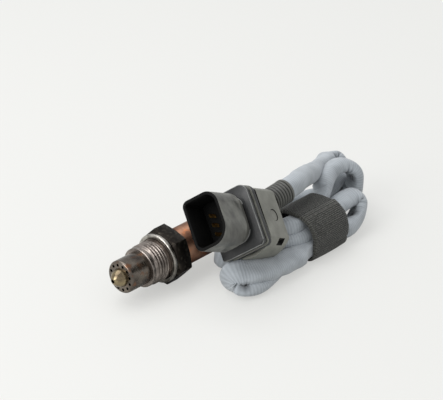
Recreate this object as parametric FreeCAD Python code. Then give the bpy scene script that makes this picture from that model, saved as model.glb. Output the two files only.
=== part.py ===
import FreeCAD, Part
import math
import os

from FreeCAD import Placement, Rotation, Vector

os.makedirs("parts", exist_ok=True)

# An oxygen sensor lying on a bench with its cable folded up in a tie.
# Millimetres and degrees. The sensor's axis runs along X with its tip at -X, the bench is z = 0,
# and the origin lies on the bench under the middle of the sensor.

# Sensor, along its axis
SENSOR_LENGTH = 84.0
NOSE_HEIGHT = 4.4
TUBE_LENGTH = 10.8
SHOULDER_LENGTH = 1.6
THREAD_LENGTH = 8.9
GASKET_THICKNESS = 1.8
HEX_LENGTH = 7.8

# Sensor, across its axis
WRENCH_SIZE = 22.0
THREAD_DIAMETER = 18.0
TUBE_DIAMETER = 14.3
NOSE_DIAMETER = 7.8
GASKET_DIAMETER = 21.8
SLEEVE_DIAMETER = 17.0
SLEEVE_END_DIAMETER = 13.4
HEX_TURN = 16.05  # from straight down to the lowest corner, towards -Y

# Gas holes in the nose
GAS_HOLES = 12
GAS_HOLE_DIAMETER = 1.3
NOSE_HOLE_DIAMETER = 1.8

# Sheet metal and clearances
TUBE_WALL = 0.5
SLEEVE_WALL = 0.7
SLIDE = 0.1  # between hard pieces that slide together
SOFT_GAP = 0.3  # between soft pieces and their neighbours

# Ceramic element and what grips it
ELEMENT_LENGTH = 58.0
ELEMENT_WIDTH = 4.2
ELEMENT_THICKNESS = 1.2
BORE_DIAMETER = 10.9
WIRE_DIAMETER = 1.5
WIRE_CIRCLE = 6.8
WIRE_ANGLES = (30.0, 90.0, 150.0, 225.0, 315.0)

# Connector, in its own frame: X from the mouth to the back, Z up, origin in the flange's front face
FLANGE_WIDTH = 21.8
FLANGE_HEIGHT = 27.5
FLANGE_THICKNESS = 1.6
COLLAR_WIDTH = 17.0
COLLAR_HEIGHT = 22.5
COLLAR_LENGTH = 21.0
COLLAR_WALL = 1.4
NECK_LENGTH = 4.7
FLANGE_SEAL_THICKNESS = 2.1
COVER_LENGTH = 19.8
COVER_BULGE = 1.45  # how far the hood's rounded bottom stands below the flange
COVER_WALL = 1.6
PIN_ROW_PITCH = 4.1
PIN_COLUMN_PITCH = 5.0

# How the connector lies across the cable beside the sleeve, in the bench's frame
CONNECTOR_YAW = 4.1
CONNECTOR_PITCH = 24.3
CONNECTOR_ROLL = -39.1
SIDE_STATION = 1.3  # along the sensor, where the flange's edge comes nearest to the sleeve
SIDE_ANGLE = 48.6  # round the sleeve, from straight up
SIDE_GAP = 12.0  # from the sleeve to the flange's edge
SIDE_FROM_LOW_EDGE = 16.5  # from the flange's lower edge to the nearest point

# Corrugated boot on the connector's back
BOOT_DIAMETER = 10.8
BOOT_RIDGES = 6
BOOT_PITCH = 1.65
BOOT_YAW = -22.3
BOOT_RISE = -19.3
BOOT_OFFSET = (-4.8, 8.2)

# Cable and tie
CABLE_DIAMETER = 9.2
TIE_LENGTH = 23.0
TIE_THICKNESS = 1.5
TIE_WIDTH = 26.0
TIE_HEIGHT = 20.8
TIE_START = 41.7
TIE_CENTRE_Y = -26.6
TIE_OVERLAP = 0.5
TIE_LAP_REACH = 4.5
TIE_LAP_HEIGHT = 6.0
WAIST_REACH = 6.0

# Stations along the sensor
TIP = -SENSOR_LENGTH / 2
TUBE_FRONT = TIP + NOSE_HEIGHT
SHOULDER_FRONT = TUBE_FRONT + TUBE_LENGTH
THREAD_FRONT = SHOULDER_FRONT + SHOULDER_LENGTH
GASKET_FRONT = THREAD_FRONT + THREAD_LENGTH
HEX_FRONT = GASKET_FRONT + GASKET_THICKNESS
HEX_REAR = HEX_FRONT + HEX_LENGTH
SENSOR_REAR = SENSOR_LENGTH / 2

# Radii that several pieces share
HEX_CORNER = WRENCH_SIZE / math.sqrt(3)
AXIS_HEIGHT = HEX_CORNER * math.cos(math.radians(HEX_TURN))
THREAD_RADIUS = THREAD_DIAMETER / 2
NECK_RADIUS = THREAD_RADIUS - 0.9
TUBE_RADIUS = TUBE_DIAMETER / 2
NOSE_RADIUS = NOSE_DIAMETER / 2
SHOULDER_RADIUS = TUBE_RADIUS + 0.75
SLEEVE_RADIUS = SLEEVE_DIAMETER / 2
SLEEVE_END_RADIUS = SLEEVE_END_DIAMETER / 2
SPIGOT_RADIUS = SLEEVE_RADIUS - SLEEVE_WALL - SLIDE / 2
BORE_RADIUS = BORE_DIAMETER / 2
HOLDER_RADIUS = BORE_RADIUS + 1.1
WIRE_RADIUS = WIRE_DIAMETER / 2
CABLE_RADIUS = CABLE_DIAMETER / 2

# Stations of what lies inside the sensor
LEDGE = THREAD_FRONT + 1.5
TALC_FRONT = LEDGE + 6.0
TALC_REAR = TALC_FRONT + 5.5
SPIGOT_REAR = HEX_REAR + 5.0
INSULATOR_REAR = HEX_REAR + 9.5
HOLDER_FRONT = INSULATOR_REAR + 0.2
HOLDER_REAR = HOLDER_FRONT + 18.0
ELEMENT_FRONT = TUBE_FRONT + 6.0
ELEMENT_REAR = ELEMENT_FRONT + ELEMENT_LENGTH
BARREL_FRONT = HOLDER_REAR + 5.0
BARREL_REAR = BARREL_FRONT + 4.0
GROMMET_FRONT = BARREL_REAR + 2.0
TAPER_FRONT = HOLDER_REAR - 1.0
TAPER_REAR = TAPER_FRONT + 3.5
SLEEVE_REAR = SENSOR_REAR - 1.5

# Stations along the connector
MOUTH = -COLLAR_LENGTH
CAVITY_FLOOR = -NECK_LENGTH - 1.7
LOCK_THICKNESS = 2.0
COVER_FRONT = FLANGE_THICKNESS + FLANGE_SEAL_THICKNESS
COVER_REAR = COVER_FRONT + COVER_LENGTH
SPIGOT_LENGTH = 13.9
WIRE_SEAL_LENGTH = 5.0
WIRE_SEAL_FRONT = FLANGE_THICKNESS + 4.0
PIN_FRONT = MOUTH + 8.5

# Corner radii of the connector's sections, in the order top left, top right, bottom right, bottom
# left for someone looking into its mouth
FLANGE_CORNERS = (3.0, 4.0, 2.0, 2.0)
COLLAR_CORNERS = (2.8, 6.0, 8.0, 4.0)
TIE_CORNERS = (9.6, 11.0, 4.8, 5.2)
SPIGOT_WIDTH = FLANGE_WIDTH - 2 * COVER_WALL - 2.7
SPIGOT_HEIGHT = FLANGE_HEIGHT - 2 * COVER_WALL - 2.3


def outline_face(start, *steps):
    """A face in the XY plane: each step is a point, or a middle point and an end point of an arc."""
    here = Vector(*start)
    first = here
    edges = []
    for step in steps:
        if len(step) == 2 and isinstance(step[0], tuple):
            middle, end = Vector(*step[0]), Vector(*step[1])
            edges.append(Part.Arc(here, middle, end).toShape())
        else:
            end = Vector(*step)
            edges.append(Part.makeLine(here, end))
        here = end
    edges.append(Part.makeLine(here, first))
    return Part.Face(Part.Wire(edges))


def turned(start, *steps):
    """The solid that an outline of (station, radius) points sweeps round the X axis."""
    return outline_face(start, *steps).revolve(Vector(), Vector(1, 0, 0), 360)


def bar(front, rear, radius, y=0.0, z=0.0):
    """A round bar along X."""
    return Part.makeCylinder(radius, rear - front, Vector(front, y, z), Vector(1, 0, 0))


def brick(front, rear, width, height, y=0.0, z=0.0):
    """A square-edged bar along X, centred on (y, z)."""
    corner = Vector(front, y - width / 2, z - height / 2)
    return Part.makeBox(rear - front, width, height, corner)


def round_rim(shape, station, radius, fillet):
    """The shape with the circular edge at that station and radius rounded."""
    rims = [
        edge
        for edge in shape.Edges
        if isinstance(edge.Curve, Part.Circle)
        and abs(edge.Curve.Center.x - station) < 1e-4
        and abs(edge.Curve.Radius - radius) < 1e-4
    ]
    return shape.makeFillet(fillet, rims)


def section(station, width, height, corners, y=0.0, z=0.0):
    """A rounded rectangle across X. Its corners run from (+y, +z) to (-y, +z) and on round."""
    turn = ((1, 1), (-1, 1), (-1, -1), (1, -1))
    middle = math.cos(math.radians(45))
    arcs = []
    for (right, up), radius in zip(turn, corners):
        centre_y = y + right * (width / 2 - radius)
        centre_z = z + up * (height / 2 - radius)
        ends = [
            Vector(station, centre_y + right * radius, centre_z),
            Vector(station, centre_y, centre_z + up * radius),
        ]
        if right != up:
            ends.reverse()
        bulge = Vector(station, centre_y + right * radius * middle, centre_z + up * radius * middle)
        arcs.append((ends[0], bulge, ends[1]))
    edges = []
    for number, (start, bulge, end) in enumerate(arcs):
        edges.append(Part.Arc(start, bulge, end).toShape())
        edges.append(Part.makeLine(end, arcs[(number + 1) % len(arcs)][0]))
    return Part.Wire(edges)


def prism(front, rear, width, height, corners, y=0.0, z=0.0):
    """A bar along X with a rounded rectangle as its section."""
    face = Part.Face(section(front, width, height, corners, y, z))
    return face.extrude(Vector(rear - front, 0, 0))


def inset(corners, depth):
    """The corner radii of a section that lies a wall's thickness inside another."""
    return tuple(max(radius - depth, 0.4) for radius in corners)


def route(points):
    """Straight runs joined by arcs, each as large as its two runs allow."""
    points = [Vector(*point) for point in points]
    edges = []
    radii = []
    here = points[0]
    for before, corner, after in zip(points, points[1:], points[2:]):
        back = before - corner
        ahead = after - corner
        turn = math.pi - back.getAngle(ahead)
        reach = 0.45 * min(back.Length, ahead.Length)
        radii.append(reach / math.tan(turn / 2))
        start = corner + back.normalize() * reach
        end = corner + ahead.normalize() * reach
        inward = (back + ahead).normalize()
        across = radii[-1] * (1 / math.cos(turn / 2) - 1)
        edges.append(Part.makeLine(here, start))
        edges.append(Part.Arc(start, corner + inward * across, end).toShape())
        here = end
    edges.append(Part.makeLine(here, points[-1]))
    return Part.Wire(edges), radii


def tube_along(points, radius):
    """A plain round solid along a route."""
    path, radii = route(points)
    first = path.Edges[0]
    heading = first.tangentAt(first.FirstParameter)
    ring = Part.Wire(Part.makeCircle(radius, Vector(*points[0]), heading))
    solid = path.makePipeShell([ring], True, False)
    return solid, path.Length, radii


# The sensor's pieces, drawn round an axis at z = 0


def outer_protection_tube():
    """The cup over the element: a flat front with a ring of gas holes."""
    opening = NOSE_RADIUS + SLIDE
    cup = turned(
        (TUBE_FRONT, opening),
        (TUBE_FRONT, TUBE_RADIUS),
        (THREAD_FRONT, TUBE_RADIUS),
        (THREAD_FRONT, TUBE_RADIUS - TUBE_WALL),
        (TUBE_FRONT + TUBE_WALL, TUBE_RADIUS - TUBE_WALL),
        (TUBE_FRONT + TUBE_WALL, opening),
    )
    cup = round_rim(cup, TUBE_FRONT, TUBE_RADIUS, 0.9)
    hole_circle = (NOSE_RADIUS + TUBE_RADIUS) / 2 - 0.1
    for number in range(GAS_HOLES):
        angle = 2 * math.pi * (number + 0.5) / GAS_HOLES
        y, z = hole_circle * math.cos(angle), hole_circle * math.sin(angle)
        cup = cup.cut(bar(TUBE_FRONT - 1, TUBE_FRONT + 1, GAS_HOLE_DIAMETER / 2, y, z))
    return cup


def inner_protection_tube():
    """The inner cup, whose domed nose comes out through the outer one."""
    body = NOSE_RADIUS + 0.5
    flange = TUBE_RADIUS - TUBE_WALL - SLIDE
    step = TUBE_FRONT + 1.4
    nose_hole = NOSE_HOLE_DIAMETER / 2
    cup = turned(
        (TIP, nose_hole),
        ((TIP + NOSE_HEIGHT * 0.34, NOSE_RADIUS * 0.72), (TUBE_FRONT - 0.3, NOSE_RADIUS)),
        (step, NOSE_RADIUS),
        (step + 0.8, body),
        (THREAD_FRONT - TUBE_WALL, body),
        (THREAD_FRONT - TUBE_WALL, flange),
        (THREAD_FRONT, flange),
        (THREAD_FRONT, body - TUBE_WALL),
        (step + 0.8 + TUBE_WALL / 2, body - TUBE_WALL),
        (step + TUBE_WALL / 2, NOSE_RADIUS - TUBE_WALL),
        (TUBE_FRONT - 0.3, NOSE_RADIUS - TUBE_WALL),
        ((TIP + NOSE_HEIGHT * 0.46, NOSE_RADIUS * 0.58), (TIP + TUBE_WALL + 0.1, nose_hole)),
    )
    for number in range(6):
        angle = 60 * number + 30
        hole = Part.makeCylinder(0.7, body + 1, Vector(THREAD_FRONT - 3, 0, 0))
        hole.rotate(Vector(), Vector(1, 0, 0), angle)
        cup = cup.cut(hole)
    return cup


def hexagon(front, rear):
    """The wrench hexagon, standing on one corner that is turned a little from straight down."""
    corners = []
    for number in range(7):
        angle = math.radians(-90 - HEX_TURN + 60 * number)
        corners.append(Vector(front, HEX_CORNER * math.cos(angle), HEX_CORNER * math.sin(angle)))
    return Part.Face(Part.makePolygon(corners)).extrude(Vector(rear - front, 0, 0))


def sensor_shell():
    """The steel body: threaded front, hexagon, bore for the packing and a spigot for the sleeve."""
    crimp = TUBE_RADIUS + SLIDE / 2
    element_hole = ELEMENT_WIDTH / 2 + 0.8
    core = turned(
        (SHOULDER_FRONT, crimp),
        (SHOULDER_FRONT, SHOULDER_RADIUS - 0.3),
        (SHOULDER_FRONT + 0.3, SHOULDER_RADIUS),
        (THREAD_FRONT, SHOULDER_RADIUS),
        (THREAD_FRONT + 0.8, THREAD_RADIUS),
        (GASKET_FRONT - 1.2, THREAD_RADIUS),
        (GASKET_FRONT - 0.6, NECK_RADIUS),
        (GASKET_FRONT, NECK_RADIUS),
        (GASKET_FRONT, THREAD_RADIUS),
        (HEX_FRONT, THREAD_RADIUS),
        (HEX_REAR, THREAD_RADIUS),
        (HEX_REAR, SPIGOT_RADIUS),
        (SPIGOT_REAR, SPIGOT_RADIUS),
        (SPIGOT_REAR, BORE_RADIUS),
        (LEDGE, BORE_RADIUS),
        (LEDGE, element_hole),
        (THREAD_FRONT, element_hole),
        (THREAD_FRONT, crimp),
    )
    rim = WRENCH_SIZE / 2 - 0.1
    slope = math.tan(math.radians(30))
    blank = turned(
        (HEX_FRONT, BORE_RADIUS),
        (HEX_FRONT, rim),
        (HEX_FRONT + (HEX_CORNER - rim) * slope, HEX_CORNER),
        (HEX_REAR - 0.3, HEX_CORNER),
        (HEX_REAR, HEX_CORNER - 0.4),
        (HEX_REAR, BORE_RADIUS),
    )
    nut = hexagon(HEX_FRONT, HEX_REAR).common(blank)
    return core.fuse(nut).removeSplitter()


def seal_ring():
    """The steel gasket that slides over the thread and lies against the hexagon."""
    radius = GASKET_DIAMETER / 2
    bore = THREAD_RADIUS + SLIDE
    ring = turned(
        (GASKET_FRONT, bore),
        (GASKET_FRONT, radius),
        (HEX_FRONT, radius),
        (HEX_FRONT, bore),
    )
    ring = round_rim(ring, GASKET_FRONT, radius, 0.7)
    return round_rim(ring, HEX_FRONT, radius, 0.5)


def element_slot(front, rear, clearance):
    """The space that the flat element takes up."""
    return brick(front, rear, ELEMENT_WIDTH + 2 * clearance, ELEMENT_THICKNESS + 2 * clearance)


def packing(front, rear, clearance):
    """A round piece in the shell's bore with the element's slot through it."""
    disc = bar(front, rear, BORE_RADIUS - SLIDE / 2)
    return disc.cut(element_slot(front - 1, rear + 1, clearance))


def contact_holder(side):
    """Half of the ceramic holder that presses the contacts on to the element."""
    holder = bar(HOLDER_FRONT, HOLDER_REAR, HOLDER_RADIUS)
    pocket_height = ELEMENT_THICKNESS + 2.2
    pocket = brick(HOLDER_FRONT - 1, HOLDER_REAR + 1, ELEMENT_WIDTH + 1.2, pocket_height)
    half = HOLDER_RADIUS + 1
    keep = brick(HOLDER_FRONT - 1, HOLDER_REAR + 1, 2 * half, half, z=side * (half / 2 + SLIDE / 2))
    return holder.cut(pocket).common(keep)


def holder_clamp():
    """The spring ring that closes the two halves of the holder and centres them in the sleeve."""
    middle = (HOLDER_FRONT + HOLDER_REAR) / 2 - 2
    inner = HOLDER_RADIUS
    outer = SLEEVE_RADIUS - SLEEVE_WALL
    return turned(
        (middle - 2, inner), (middle - 2, outer), (middle + 2, outer), (middle + 2, inner)
    )


def wire_places():
    """Where each wire crosses the grommet, as (y, z)."""
    places = []
    for angle in WIRE_ANGLES:
        turn = math.radians(angle)
        places.append((WIRE_CIRCLE / 2 * math.cos(turn), WIRE_CIRCLE / 2 * math.sin(turn)))
    return places


def contact_springs():
    """Five bent strips from the element's pads to the crimp barrels of the wires."""
    pad_pitch = ELEMENT_WIDTH / 3
    pad_y = (pad_pitch, 0.0, -pad_pitch, -pad_pitch / 2, pad_pitch / 2)
    strip = 0.35
    width = 0.9
    pad = ELEMENT_THICKNESS / 2
    lead = HOLDER_REAR
    springs = []
    for start_y, (wire_y, wire_z) in zip(pad_y, wire_places()):
        side = math.copysign(1, wire_z)
        line = ((HOLDER_FRONT + 3, pad + 0.6), (HOLDER_FRONT + 10, pad), (lead, pad + 0.7))
        far = [(x, z + strip) for x, z in reversed(line)]
        points = [Vector(x, start_y - width / 2, side * z) for x, z in (*line, *far)]
        leaf = Part.Face(Part.makePolygon(points + points[:1])).extrude(Vector(0, width, 0))
        near_z = side * (pad + 0.7 + strip / 2)
        ends = (
            Part.makePolygon(
                [
                    Vector(x, y + dy * width / 2, z + dz * strip / 2)
                    for dy, dz in ((1, 1), (-1, 1), (-1, -1), (1, -1), (1, 1))
                ]
            )
            for x, y, z in ((lead, start_y, near_z), (BARREL_FRONT, wire_y, wire_z))
        )
        fan = Part.makeLoft(list(ends), True, True)
        barrel = bar(BARREL_FRONT, BARREL_REAR, WIRE_RADIUS + 0.3, wire_y, wire_z)
        barrel = barrel.cut(bar(BARREL_FRONT + 0.5, BARREL_REAR, WIRE_RADIUS, wire_y, wire_z))
        springs.append(leaf.fuse([fan, barrel]).removeSplitter())
    return Part.makeCompound(springs)


def sensor_wires():
    """The five conductors, from the crimp barrels to the back of the grommet."""
    wires = [bar(BARREL_FRONT + 0.5, SENSOR_REAR, WIRE_RADIUS, y, z) for y, z in wire_places()]
    return Part.makeCompound(wires)


def rear_sleeve():
    """The metal sleeve welded to the shell, stepped down at the back round the grommet."""
    wall = SLEEVE_WALL
    seam = HEX_REAR + 1.6
    return turned(
        (HEX_REAR, SLEEVE_RADIUS - wall),
        (HEX_REAR, SLEEVE_RADIUS),
        (seam - 0.6, SLEEVE_RADIUS),
        ((seam, SLEEVE_RADIUS - 0.35), (seam + 0.6, SLEEVE_RADIUS)),
        (TAPER_FRONT, SLEEVE_RADIUS),
        (TAPER_REAR, SLEEVE_END_RADIUS),
        (GROMMET_FRONT + 2.0, SLEEVE_END_RADIUS),
        ((GROMMET_FRONT + 2.8, SLEEVE_END_RADIUS - 0.3), (GROMMET_FRONT + 3.6, SLEEVE_END_RADIUS)),
        (SLEEVE_REAR - 0.4, SLEEVE_END_RADIUS),
        (SLEEVE_REAR, SLEEVE_END_RADIUS - 0.4),
        (SLEEVE_REAR, SLEEVE_END_RADIUS - wall),
        (TAPER_REAR - 0.3, SLEEVE_END_RADIUS - wall),
        (TAPER_FRONT - 0.3, SLEEVE_RADIUS - wall),
    )


def cable_grommet():
    """The rubber bung in the sleeve's end, with a hole for each wire."""
    bung = turned(
        (GROMMET_FRONT, 0),
        (GROMMET_FRONT, SLEEVE_END_RADIUS - SLEEVE_WALL),
        (SLEEVE_REAR, SLEEVE_END_RADIUS - SLEEVE_WALL),
        (SLEEVE_REAR, SLEEVE_END_RADIUS - 0.5),
        (SENSOR_REAR, SLEEVE_END_RADIUS - 0.9),
        (SENSOR_REAR, 0),
    )
    for y, z in wire_places():
        bung = bung.cut(bar(GROMMET_FRONT - 1, SENSOR_REAR + 1, WIRE_RADIUS, y, z))
    return bung


# The connector's pieces, drawn in its own frame


def pin_places():
    """Where each pin stands in the connector's face, as (y, z)."""
    rows = (PIN_ROW_PITCH, 0.0, -PIN_ROW_PITCH)
    return [(side * PIN_COLUMN_PITCH / 2, row - 0.5) for side in (1, -1) for row in rows]


def connector_housing():
    """Socket collar, neck, flange and rear spigot, moulded in one."""
    neck_inset = 1.8
    collar = prism(MOUTH, -NECK_LENGTH, COLLAR_WIDTH, COLLAR_HEIGHT, COLLAR_CORNERS)
    neck = prism(
        -NECK_LENGTH,
        0,
        COLLAR_WIDTH - 2 * neck_inset,
        COLLAR_HEIGHT - 2 * neck_inset,
        inset(COLLAR_CORNERS, neck_inset),
    )
    flange = prism(0, FLANGE_THICKNESS, FLANGE_WIDTH, FLANGE_HEIGHT, FLANGE_CORNERS)
    spigot_rear = FLANGE_THICKNESS + SPIGOT_LENGTH
    spigot_corners = (3.0, 3.0, 3.0, 3.0)
    spigot = prism(FLANGE_THICKNESS, spigot_rear, SPIGOT_WIDTH, SPIGOT_HEIGHT, spigot_corners)
    body = collar.fuse([neck, flange, spigot])
    cavity = prism(
        MOUTH,
        CAVITY_FLOOR,
        COLLAR_WIDTH - 2 * COLLAR_WALL,
        COLLAR_HEIGHT - 2 * COLLAR_WALL,
        inset(COLLAR_CORNERS, COLLAR_WALL),
    )
    pocket = prism(
        WIRE_SEAL_FRONT,
        spigot_rear,
        SPIGOT_WIDTH - 2 * COLLAR_WALL,
        SPIGOT_HEIGHT - 2 * COLLAR_WALL,
        inset(spigot_corners, COLLAR_WALL),
    )
    body = body.cut(cavity).cut(pocket)
    for y, z in pin_places():
        body = body.cut(pin(y, z, SLIDE / 2))
    return body.removeSplitter()


def pin(y, z, clearance=0.0):
    """One terminal pin with the round barrel that its wire is crimped in."""
    grow = 2 * clearance
    blade = brick(PIN_FRONT - clearance, WIRE_SEAL_FRONT - 3, 0.7 + grow, 1.5 + grow, y, z)
    barrel = bar(WIRE_SEAL_FRONT - 3.2, WIRE_SEAL_FRONT, WIRE_RADIUS + 0.3 + clearance, y, z)
    return blade.fuse(barrel).removeSplitter()


def connector_pins():
    """Six pins; the barrel of each takes the end of a wire."""
    pins = []
    for y, z in pin_places():
        socket = bar(WIRE_SEAL_FRONT - 2.0, WIRE_SEAL_FRONT, WIRE_RADIUS, y, z)
        pins.append(pin(y, z).cut(socket))
    return Part.makeCompound(pins)


def terminal_lock():
    """The plate on the socket's floor that keeps the pins from backing out."""
    rear = CAVITY_FLOOR
    front = rear - LOCK_THICKNESS
    depth = COLLAR_WALL + SLIDE
    plate = prism(
        front,
        rear,
        COLLAR_WIDTH - 2 * depth,
        COLLAR_HEIGHT - 2 * depth,
        inset(COLLAR_CORNERS, depth),
    )
    for y, z in pin_places():
        plate = plate.cut(brick(front - 1, rear + 1, 0.7 + 2 * SLIDE, 1.5 + 2 * SLIDE, y, z))
    return plate


def wire_seal():
    """The soft block in the spigot that seals round each wire."""
    depth = 2 * COLLAR_WALL + 2 * SLIDE
    rear = WIRE_SEAL_FRONT + WIRE_SEAL_LENGTH
    corners = inset((3.0, 3.0, 3.0, 3.0), COLLAR_WALL + SLIDE)
    block = prism(WIRE_SEAL_FRONT, rear, SPIGOT_WIDTH - depth, SPIGOT_HEIGHT - depth, corners)
    for y, z in pin_places()[:5]:
        block = block.cut(bar(WIRE_SEAL_FRONT - 1, rear + 1, WIRE_RADIUS, y, z))
    return block


def flange_seal():
    """The black rubber ring between the flange and the rear cover."""
    edge = 0.9
    ring = prism(
        FLANGE_THICKNESS,
        COVER_FRONT,
        FLANGE_WIDTH - 2 * edge,
        FLANGE_HEIGHT - 2 * edge,
        inset(FLANGE_CORNERS, edge),
    )
    spigot = (SPIGOT_WIDTH + 2 * SLIDE, SPIGOT_HEIGHT + 2 * SLIDE)
    return ring.cut(prism(FLANGE_THICKNESS - 1, COVER_FRONT + 1, *spigot, (3.1, 3.1, 3.1, 3.1)))


def boot_placement():
    """Where the boot's axis leaves the cover's back, in the connector's frame."""
    turn = Rotation(Vector(0, 0, 1), BOOT_YAW).multiply(Rotation(Vector(0, 1, 0), BOOT_RISE))
    return Placement(Vector(COVER_REAR, *BOOT_OFFSET), turn)


def hood(front, rear, depth):
    """The hood's solid, a wall's depth inside its outside: flat sides and top, rounded elsewhere."""
    radius = FLANGE_HEIGHT / 2 + COVER_BULGE
    height = FLANGE_HEIGHT + COVER_BULGE - 2 * depth
    sides = brick(front, rear, FLANGE_WIDTH - 2 * depth, height, z=-COVER_BULGE / 2)
    return sides.common(bar(front, rear, radius - depth))


def rear_cover():
    """The shell over the wires: a rim on the seal, a groove, and a hood with the boot's hole."""
    rim_thickness = 2.2
    groove = 0.9
    hood_front = COVER_FRONT + rim_thickness + groove
    floor = COVER_FRONT + COVER_WALL
    rim = prism(COVER_FRONT, COVER_FRONT + rim_thickness, FLANGE_WIDTH, FLANGE_HEIGHT, FLANGE_CORNERS)
    throat = prism(
        COVER_FRONT + rim_thickness,
        hood_front,
        FLANGE_WIDTH - 2 * groove,
        FLANGE_HEIGHT - 2 * groove,
        inset(FLANGE_CORNERS, groove),
    )
    shell = hood(hood_front, COVER_REAR, 0)
    ridges = [
        edge
        for edge in shell.Edges
        if isinstance(edge.Curve, Part.Line) and edge.BoundBox.XLength > COVER_LENGTH / 2
    ]
    shell = shell.makeFillet(1.5, ridges)
    back = [edge for edge in shell.Edges if edge.BoundBox.XMin > COVER_REAR - 1e-4]
    shell = shell.makeFillet(3.0, back)
    shell = rim.fuse([throat, shell])
    opening = prism(
        COVER_FRONT - 1,
        floor + 1,
        SPIGOT_WIDTH + 2 * SLIDE,
        SPIGOT_HEIGHT + 2 * SLIDE,
        (3.1, 3.1, 3.1, 3.1),
    )
    outlet = bar(-8, 8, BOOT_DIAMETER / 2 - 1.2)
    outlet = outlet.fuse(bar(1.2, 8, BOOT_DIAMETER / 2 + SLIDE))
    outlet.Placement = boot_placement()
    side = -FLANGE_WIDTH / 2
    window = Part.makeBox(4.2, 4.0, 2.6, Vector(floor + 8.4, side - 1, -13.6))
    slot = Part.makeBox(2.6, 3.6, 3.0, Vector(COVER_REAR - 6.4, side + 3.4, FLANGE_HEIGHT / 2 - 2.0))
    emblem = Part.makeCylinder(2.6, 1, Vector(COVER_REAR - 8.4, side + 0.3, -0.5), Vector(0, -1, 0))
    shell = shell.cut(hood(floor, COVER_REAR - COVER_WALL, COVER_WALL)).cut(opening)
    return shell.cut(outlet).cut(window).cut(slot).cut(emblem).removeSplitter()


def trim_resistor():
    """The calibration chip on the spigot's side, behind the small window in the cover."""
    floor = COVER_FRONT + COVER_WALL
    side = -SPIGOT_WIDTH / 2
    return Part.makeBox(5.0, 0.6, 3.4, Vector(floor + 6.4, side - 0.6, -10.4))


def boot():
    """The corrugated boot round the cable's end, plugged into the cover's back."""
    outer = BOOT_DIAMETER / 2
    root = outer - 0.9
    neck = outer - 1.2
    bore = CABLE_RADIUS - 1.4
    crest = BOOT_PITCH * 0.28
    points = [(-3.0, neck)]
    first = 1.4
    for number in range(BOOT_RIDGES):
        start = first + number * BOOT_PITCH
        points += [(start, root if number else neck), (start + crest, outer)]
        points += [(start + 2 * crest, outer), (start + 3 * crest, root)]
    end = first + BOOT_RIDGES * BOOT_PITCH + 1.0
    points += [(end - 1.2, root), (end - 1.0, outer + 0.1), (end, outer + 0.1), (end, bore)]
    points += [(-3.0, bore)]
    return turned(*points), end


def connector_wires():
    """The five wires from the pins' barrels through the seal and the hood into the boot."""
    wires = []
    hub = boot_placement()
    bunch = 1.75
    lead = WIRE_SEAL_FRONT + WIRE_SEAL_LENGTH + 5.0
    for (y, z), angle in zip(pin_places(), (50.0, 122.0, 194.0, -22.0, -94.0)):
        turn = math.radians(angle)
        offset = Vector(0, bunch * math.cos(turn), bunch * math.sin(turn))
        points = [
            (WIRE_SEAL_FRONT - 2.0, y, z),
            (lead, y, z),
            tuple(hub.multVec(Vector(-1.5, 0, 0) + offset)),
            tuple(hub.multVec(Vector(10.0, 0, 0) + offset)),
        ]
        wires.append(tube_along(points, WIRE_RADIUS)[0])
    return Part.makeCompound(wires)


def export(name, shape, placement):
    """One piece in its place, as a STEP file of its own."""
    shape = shape.Solids[0].copy() if len(shape.Solids) == 1 else shape.copy()
    shape.Placement = placement.multiply(shape.Placement)
    shape.exportStep("parts/" + name + ".step")
    return shape


sensor_place = Placement(Vector(0, 0, AXIS_HEIGHT), Rotation())

connector_turn = (
    Rotation(Vector(0, 0, 1), CONNECTOR_YAW)
    .multiply(Rotation(Vector(0, 1, 0), CONNECTOR_PITCH))
    .multiply(Rotation(Vector(1, 0, 0), CONNECTOR_ROLL))
)
side_radius = SLEEVE_RADIUS + SIDE_GAP
side_angle = math.radians(SIDE_ANGLE)
near_point = Vector(
    SIDE_STATION,
    -side_radius * math.sin(side_angle),
    AXIS_HEIGHT + side_radius * math.cos(side_angle),
)
edge_point = Vector(0, FLANGE_WIDTH / 2, SIDE_FROM_LOW_EDGE - FLANGE_HEIGHT / 2)
connector_place = Placement(near_point - connector_turn.multVec(edge_point), connector_turn)

boot_solid, boot_length = boot()
boot_place = connector_place.multiply(boot_placement())
boot_end = boot_place.multVec(Vector(boot_length, 0, 0))
boot_heading = boot_place.Rotation.multVec(Vector(1, 0, 0))

# The cable's free stretches. Between them it lies folded in the tie.
CABLE_FROM_SENSOR = [
    (SENSOR_REAR, 0.0, AXIS_HEIGHT),
    (SENSOR_REAR + 8.0, 0.0, AXIS_HEIGHT),
    (SENSOR_REAR + 17.0, -0.9, AXIS_HEIGHT - 1.6),
    (SENSOR_REAR + 26.0, -2.2, AXIS_HEIGHT - 3.4),
    (SENSOR_REAR + 34.0, -3.4, AXIS_HEIGHT - 3.8),
    (SENSOR_REAR + 42.5, -5.0, AXIS_HEIGHT - 4.6),
]
boot_exit = boot_end + boot_heading * 7.0
CABLE_TO_CONNECTOR = [
    tuple(boot_end),
    tuple(boot_exit),
    (boot_exit.x + 9.2, boot_exit.y + 3.2, boot_exit.z - 0.6),
    (boot_exit.x + 17.7, boot_exit.y + 5.6, boot_exit.z - 2.3),
    (boot_exit.x + 26.2, boot_exit.y + 7.9, boot_exit.z - 4.6),
    (boot_exit.x + 34.7, boot_exit.y + 10.8, boot_exit.z - 6.5),
]

cable_from_sensor, length, radii = tube_along(CABLE_FROM_SENSOR, CABLE_RADIUS)
print("cable_from_sensor", round(length, 1), [round(radius, 1) for radius in radii])
print("  volume", cable_from_sensor.Volume / (math.pi * CABLE_RADIUS**2 * length))
cable_to_connector, length, radii = tube_along(CABLE_TO_CONNECTOR, CABLE_RADIUS)
print("cable_to_connector", round(length, 1), [round(radius, 1) for radius in radii])
print("  volume", cable_to_connector.Volume / (math.pi * CABLE_RADIUS**2 * length))


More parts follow.
